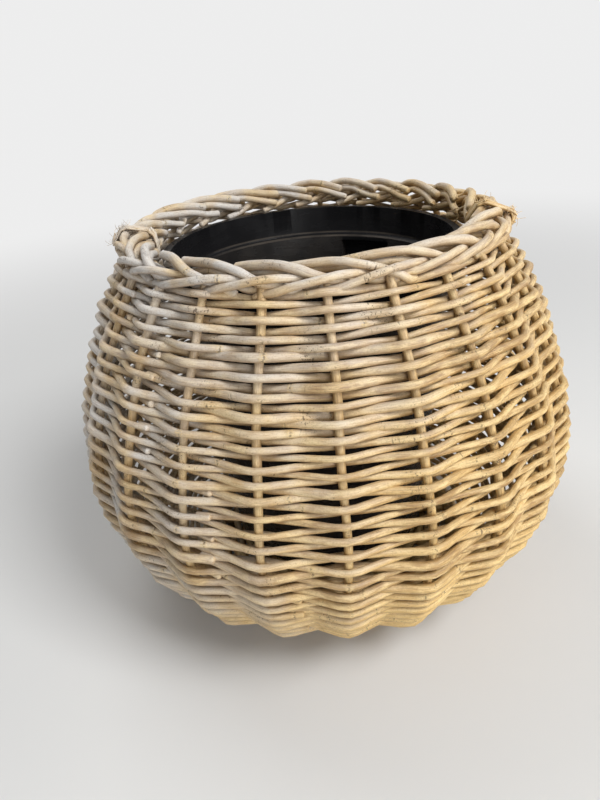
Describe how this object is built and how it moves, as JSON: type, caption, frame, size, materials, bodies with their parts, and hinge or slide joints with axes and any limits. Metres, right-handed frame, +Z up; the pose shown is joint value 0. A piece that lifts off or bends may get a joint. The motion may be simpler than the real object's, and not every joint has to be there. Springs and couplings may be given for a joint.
{
  "type": "woven rattan planter",
  "caption": "Round-bellied woven rattan planter with a plaited rim, a foot hoop and a loose black plastic liner that lifts out.",
  "frame": {"origin": "on the floor, under the middle of the basket", "axes": "+Z up, -Y towards the viewer of the picture, +X to the right"},
  "size_m": [0.4982, 0.4985, 0.3747],
  "materials": {
    "stake_rattan": "matt peeled rattan core, golden tan",
    "weaver_rattan": "matt grey-washed rattan core, beige to tan, with dark nodes and specks",
    "border_rattan": "matt grey-washed rattan core, paler and greyer than the wall",
    "base_rattan": "matt rattan core, tan",
    "rattan_peel": "dry pale rattan peel",
    "liner_plastic": "black moulded plastic, semi-gloss"
  },
  "bodies": {
    "basket": {"stake_01": "stake_rattan", "stake_02": "stake_rattan", "stake_03": "stake_rattan", "stake_04": "stake_rattan", "stake_05": "stake_rattan", "stake_06": "stake_rattan", "stake_07": "stake_rattan", "stake_08": "stake_rattan", "stake_09": "stake_rattan", "stake_10": "stake_rattan", "stake_11": "stake_rattan", "stake_12": "stake_rattan", "stake_13": "stake_rattan", "stake_14": "stake_rattan", "stake_15": "stake_rattan", "stake_16": "stake_rattan", "stake_17": "stake_rattan", "stake_18": "stake_rattan", "stake_19": "stake_rattan", "stake_20": "stake_rattan", "stake_21": "stake_rattan", "stake_22": "stake_rattan", "stake_23": "stake_rattan", "weaver_01": "weaver_rattan", "weaver_02": "weaver_rattan", "weaver_03": "weaver_rattan", "weaver_04": "weaver_rattan", "weaver_05": "weaver_rattan", "weaver_06": "weaver_rattan", "weaver_07": "weaver_rattan", "weaver_08": "weaver_rattan", "weaver_09": "weaver_rattan", "weaver_10": "weaver_rattan", "weaver_11": "weaver_rattan", "weaver_12": "weaver_rattan", "weaver_13": "weaver_rattan", "weaver_14": "weaver_rattan", "weaver_15": "weaver_rattan", "weaver_16": "weaver_rattan", "weaver_17": "weaver_rattan", "weaver_18": "weaver_rattan", "weaver_19": "weaver_rattan", "weaver_20": "weaver_rattan", "border_strand_1": "border_rattan", "border_strand_2": "border_rattan", "border_strand_3": "border_rattan", "rim_lashing_right": "rattan_peel", "rim_lashing_left": "rattan_peel", "foot_hoop": "base_rattan", "base_stick_1": "base_rattan", "base_stick_2": "base_rattan", "base_stick_3": "base_rattan", "base_stick_4": "base_rattan", "base_stick_5": "base_rattan", "base_stick_6": "base_rattan", "base_weaver_1": "base_rattan", "base_weaver_2": "base_rattan"},
    "liner": {"liner": "liner_plastic"}
  },
  "joints": [
    {"name": "liner_lift", "type": "slide", "parent": "basket", "child": "liner", "axis": [0, 0, 1], "range_m": [0, 0.36]}
  ]
}
